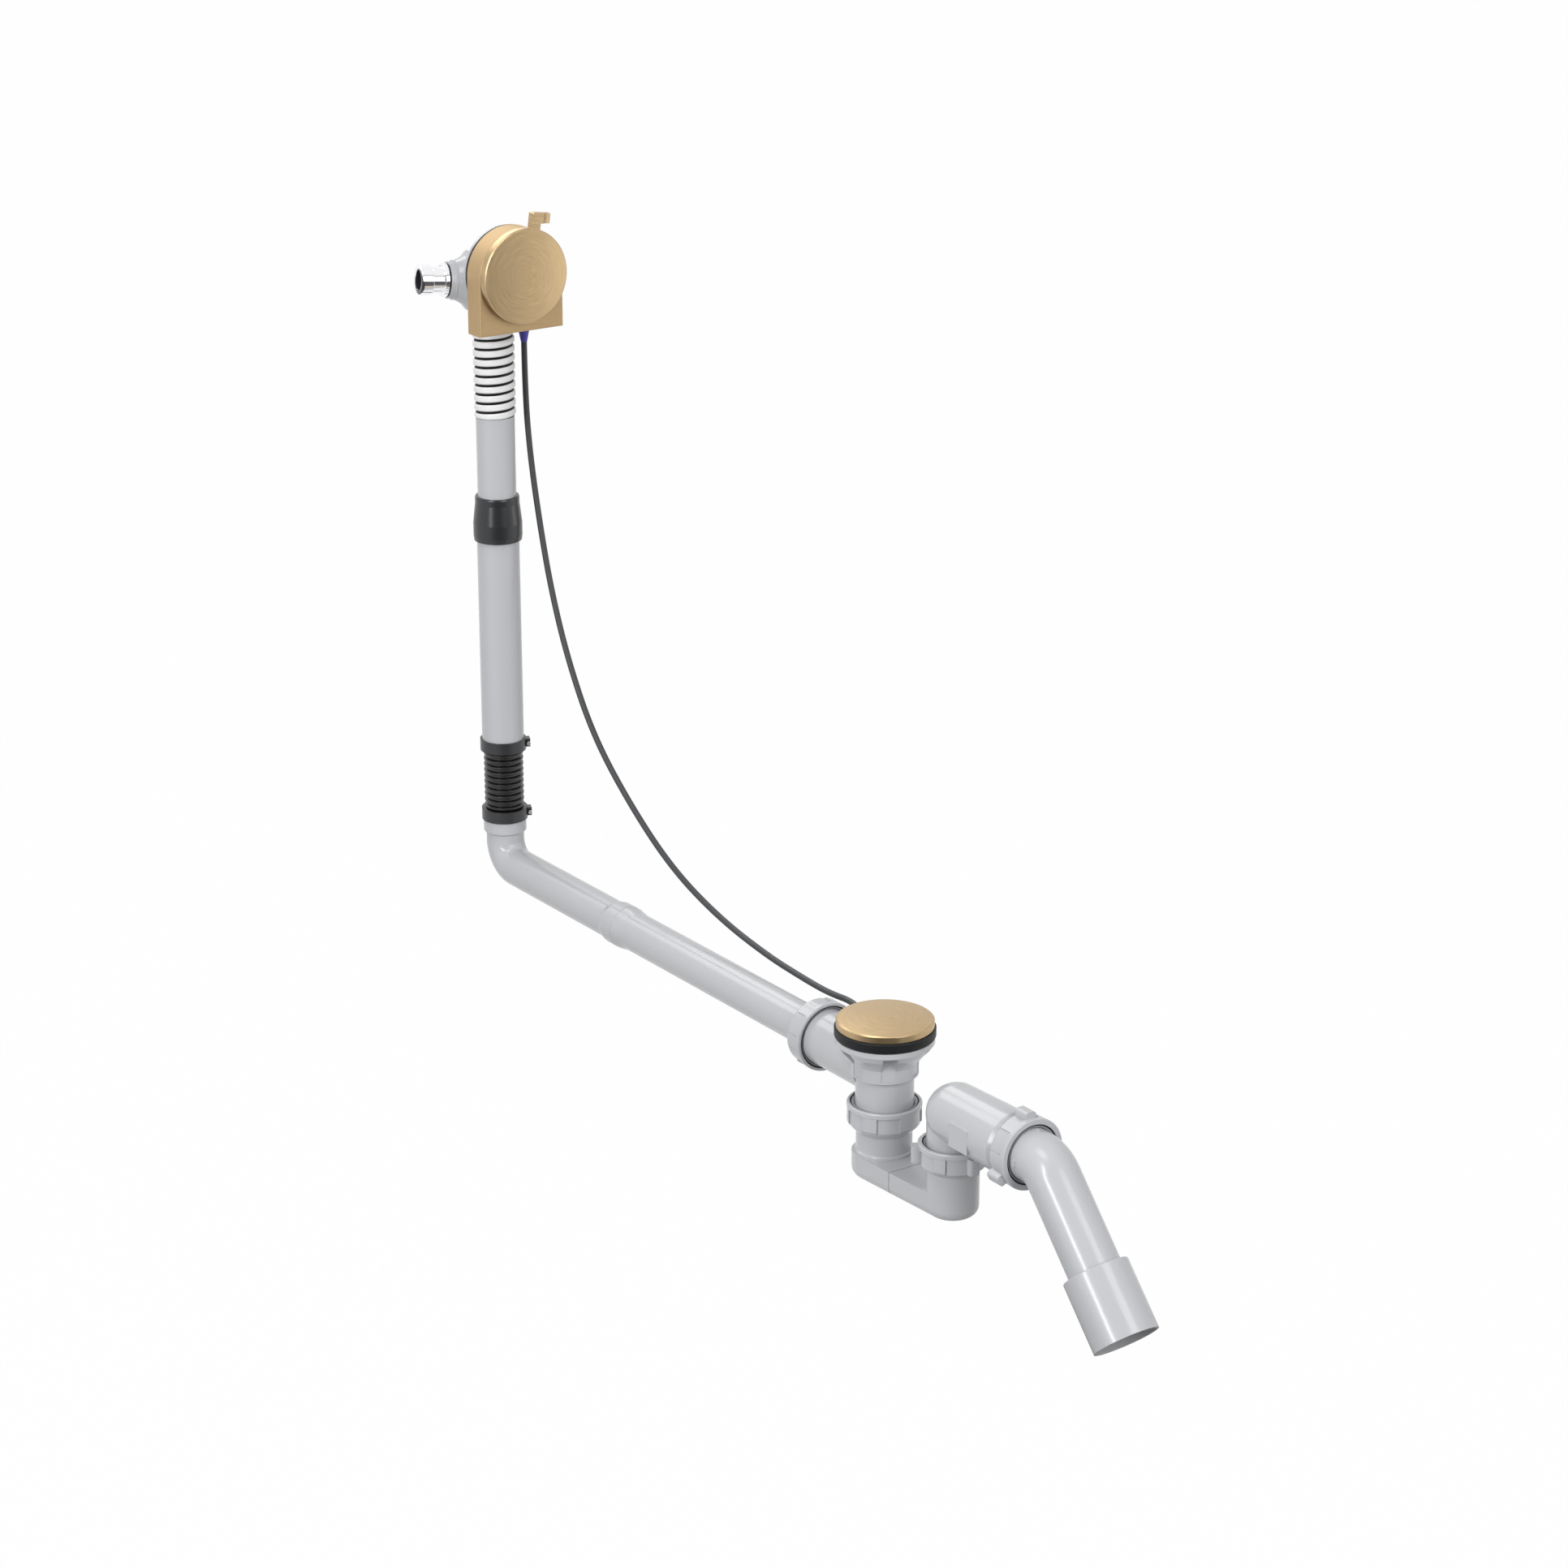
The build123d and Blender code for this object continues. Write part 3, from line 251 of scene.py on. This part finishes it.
def brushed(name, colour, roughness, stretch):
    """Brushed metal: long fine scratches along the axis that stretch draws them out on."""
    made = Finish(name, colour, roughness, metallic=1.0)
    lines = made.noise(scale=1500, detail=4, stretch=stretch)
    made.mottle(lines, amount=0.08)
    made.gloss(lines, amount=0.05)
    made.relief(lines, height=0.005 * MM, strength=0.2, rounded=0.5 * MM)
    return made.material


def spun(name, colour, roughness, centre, axis, crown_radius=None):
    """A disc brushed in circles about its axis. A crown radius bends its reflection to the sides."""
    made = Finish(name, colour, roughness, metallic=1.0)
    a, b, radius = made.across(centre, axis)
    lines = made.rings(a, b, radius, scale=1300, stretch=1.6)
    made.mottle(lines, amount=0.13)
    made.gloss(lines, amount=0.05)
    crown = None
    if crown_radius:
        crown = made.maths("MULTIPLY", made.maths("MULTIPLY", a, a), -0.5 / crown_radius)
    made.relief(lines, height=0.006 * MM, strength=0.3, rounded=0.6 * MM, crown=crown)
    return made.material


def polished(name, colour, roughness):
    """Plated metal with a slow waviness in its mirror, and painted shade for the dark mouth of the inlet in its
    end.
    """
    made = Finish(name, colour, roughness, metallic=1.0)
    # Painted shade: the inlet's mouth is painted dark where its bore lies in shade
    made.insert(MOUTH_CENTRE, Y_AXIS, MOUTH_RADIUS, MOUTH_SHADE_COLOUR)
    made.gloss(made.noise(scale=60, detail=3), amount=0.02)
    made.relief(made.noise(scale=25, detail=1), height=0.02 * MM, strength=0.1, rounded=0.3 * MM)
    return made.material


dial_turn = next(joint for joint in frame["joints"] if joint["name"] == "dial_turn")
sheath = moulded("cable_sheath", (0.045, 0.048, 0.053), roughness=0.42)
by_slot = {
    "brushed_brass": brushed("brass_brushed", BRASS, roughness=0.62, stretch=(1, 0.06, 1)),
    "grey_plastic": moulded("grey_moulded", (0.525, 0.535, 0.555), roughness=0.21),
    "slip_plastic": moulded("slip_ring_moulded", (0.40, 0.41, 0.42), roughness=0.4),
    "black_rubber": moulded("rubber_black", (0.013, 0.0135, 0.015), roughness=0.5, specular=0.22),
    "black_plastic": moulded("black_moulded", (0.020, 0.021, 0.024), roughness=0.3, specular=0.55),
    "hose_black": moulded("hose_dark", (0.006, 0.006, 0.007), roughness=0.6, specular=0.2),
    "hose_white": moulded("hose_white", (0.86, 0.86, 0.86), roughness=0.28),
    "violet_plastic": moulded("violet_moulded", (0.075, 0.060, 0.38), roughness=0.4),
    "cable_sheath": sheath,
    "pale_plastic": moulded("pale_moulded", (0.70, 0.70, 0.68), roughness=0.4),
    "chrome_brass": polished("chrome_polished", (0.90, 0.90, 0.92), roughness=0.08),
    "steel": brushed("steel_bright", (0.58, 0.58, 0.59), roughness=0.32, stretch=(1, 1, 0.1)),
}
by_node = {
    "control_dial": spun("brass_dial", BRASS, roughness=0.38, centre=dial_turn["pos_m"], axis=X_AXIS,
                         crown_radius=DIAL_CROWN),
    "plug_cap": spun("brass_plug", BRASS, roughness=0.38, centre=WASTE_CENTRE, axis=Z_AXIS),
    "riser_bellows": moulded("rubber_bellows", (0.006, 0.006, 0.006), roughness=0.3, specular=0.6),
}
for part in frame["record"]["subparts"]:
    slots = nodes[part["node"]].data.materials
    slots.clear()
    slots.append(by_node.get(part["node"], by_slot[part["material_slot"]]))


# The cable from the head to the waste, through points in millimetres

CABLE_RADIUS = 2.5
GLAND_WAY = bearing(158)
GLAND_DROP = 18.5
FERRULE_END = 71
LEAD_LENGTH = 20

cable_end = GLAND_WAY * FERRULE_END - Vector((0, 0, GLAND_DROP))
cable_lead = cable_end + GLAND_WAY * LEAD_LENGTH
points = [
    (-541.0, 28.0, 413.4),
    (-541.0, 28.0, 368.0),
    (-535.5, 28.3, 318.0),
    (-523.5, 28.6, 264.0),
    (-508.0, 28.8, 210.0),
    (-484.0, 29.0, 155.0),
    (-446.0, 29.0, 98.0),
    (-389.0, 29.0, 52.0),
    (-329.0, 29.0, 16.5),
    (-262.0, 28.5, -4.0),
    (-195.0, 28.2, -14.2),
    (-145.0, 28.8, -17.6),
    (-113.0, 29.6, -19.0),
    cable_lead,
    cable_end,
]
route = [tuple(c * MM for c in point) for point in points]
line = bpy.data.curves.new("cable_sheath", "CURVE")
line.dimensions = "3D"
line.bevel_depth = CABLE_RADIUS * MM
line.bevel_resolution = 6
line.resolution_u = 16
line.use_fill_caps = True
line.materials.append(sheath)
spline = line.splines.new("NURBS")
spline.points.add(len(route) - 1)
for point, place in zip(spline.points, route):
    point.co = (*place, 1)
spline.order_u = 3
spline.use_endpoint_u = True
cable = added("cable", line)
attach(cable, "fixed")
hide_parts("bowden_cable")


# White backdrop, as mirrors see it: it fades into the dark room across from it

MIDDLE = Vector((-0.15, 0, 0.12))
BACKDROP_WAY = bearing(150)
ROOM_ENDS = -0.85
WHITE_STARTS = -0.35
ROOM_LIGHT = 0.10
PLAIN_WHITE = 1.0
MIRROR_RAYS = ("Is Glossy Ray", "Is Transmission Ray")


def mirrored(graph, way):
    """The light that a mirror ray meets along a way of length one."""
    towards = graph.vector("DOT_PRODUCT", way, BACKDROP_WAY)["Value"]
    return graph.ramp(towards, ROOM_ENDS, WHITE_STARTS, ROOM_LIGHT, PLAIN_WHITE,
                      interpolation_type="SMOOTHSTEP")


# Floor, which the camera sees as white but for the object's shadow

FLOOR_REACH = 9
FLOOR_GAP = 0.5 * MM
FLOOR_GREY = (0.4, 0.4, 0.4, 1)
WHITE_SHARE = 0.988

material = bpy.data.materials.new("floor")
graph = Graph(material)
ground = graph.tree.nodes["Principled BSDF"]
graph.fill(ground, {"Base Color": FLOOR_GREY, "Roughness": 0.9})
glow = graph.add("Emission", {"Strength": PLAIN_WHITE}).outputs[0]
outwards = graph.vector("SUBTRACT", graph.coordinates(), MIDDLE)[0]
outwards = graph.vector("NORMALIZE", outwards)[0]
mirror = graph.add("Emission", {"Strength": mirrored(graph, outwards)}).outputs[0]
lit = graph.either(WHITE_SHARE, ground.outputs[0], glow)
shown = graph.either(graph.rays("Is Camera Ray"), ground.outputs[0], lit)
shown = graph.either(graph.rays(*MIRROR_RAYS), shown, mirror)
graph.fill(graph.tree.nodes["Material Output"], {"Surface": shown})

floor_z = cad_box[0][2] - FLOOR_GAP
corners = [(x * FLOOR_REACH, y * FLOOR_REACH, floor_z) for x, y in ((-1, -1), (1, -1), (1, 1), (-1, 1))]
mesh = bpy.data.meshes.new("floor")
mesh.from_pydata(corners, [], [(0, 1, 2, 3)])
mesh.materials.append(material)
added("floor", mesh)


# World: dim and even on the object, white to the camera, and the backdrop to mirrors

WORLD_LIGHT = 0.28
WHITE = (1, 1, 1, 1)

scene.world = bpy.data.worlds.new("world")
graph = Graph(scene.world)
around = graph.tree.nodes["Background"]
graph.fill(around, {"Color": WHITE, "Strength": WORLD_LIGHT})
sky = mirrored(graph, graph.coordinates("Generated"))
mirror = graph.add("Background", {"Color": WHITE, "Strength": sky}).outputs[0]
seen = graph.add("Background", {"Color": WHITE, "Strength": PLAIN_WHITE}).outputs[0]
shown = graph.either(graph.rays(*MIRROR_RAYS), around.outputs[0], mirror)
shown = graph.either(graph.rays("Is Camera Ray"), shown, seen)
graph.fill(graph.tree.nodes["World Output"], {"Surface": shown})


# Lamps

LAMP_DISTANCE = 2.6


def lamp(name, azimuth, height, width, length, power):
    """A soft box that looks at the object's middle, of a width and a length in metres."""
    box = bpy.data.lights.new(name, "AREA")
    box.shape = "RECTANGLE"
    box.size = width
    box.size_y = length
    box.energy = power
    way = bearing(azimuth, height)
    added(name, box).matrix_world = Matrix.Translation(MIDDLE + way * LAMP_DISTANCE) @ facing(way)


lamp("left_strip", azimuth=-72, height=20, width=0.22, length=1.8, power=34)
lamp("right_box", azimuth=4, height=26, width=1.1, length=1.6, power=27)
lamp("back_box", azimuth=180, height=40, width=2.2, length=0.7, power=17)
lamp("top_box", azimuth=-80, height=66, width=1.0, length=1.0, power=15)
lamp("low_side", azimuth=62, height=-4, width=0.5, length=1.0, power=5)
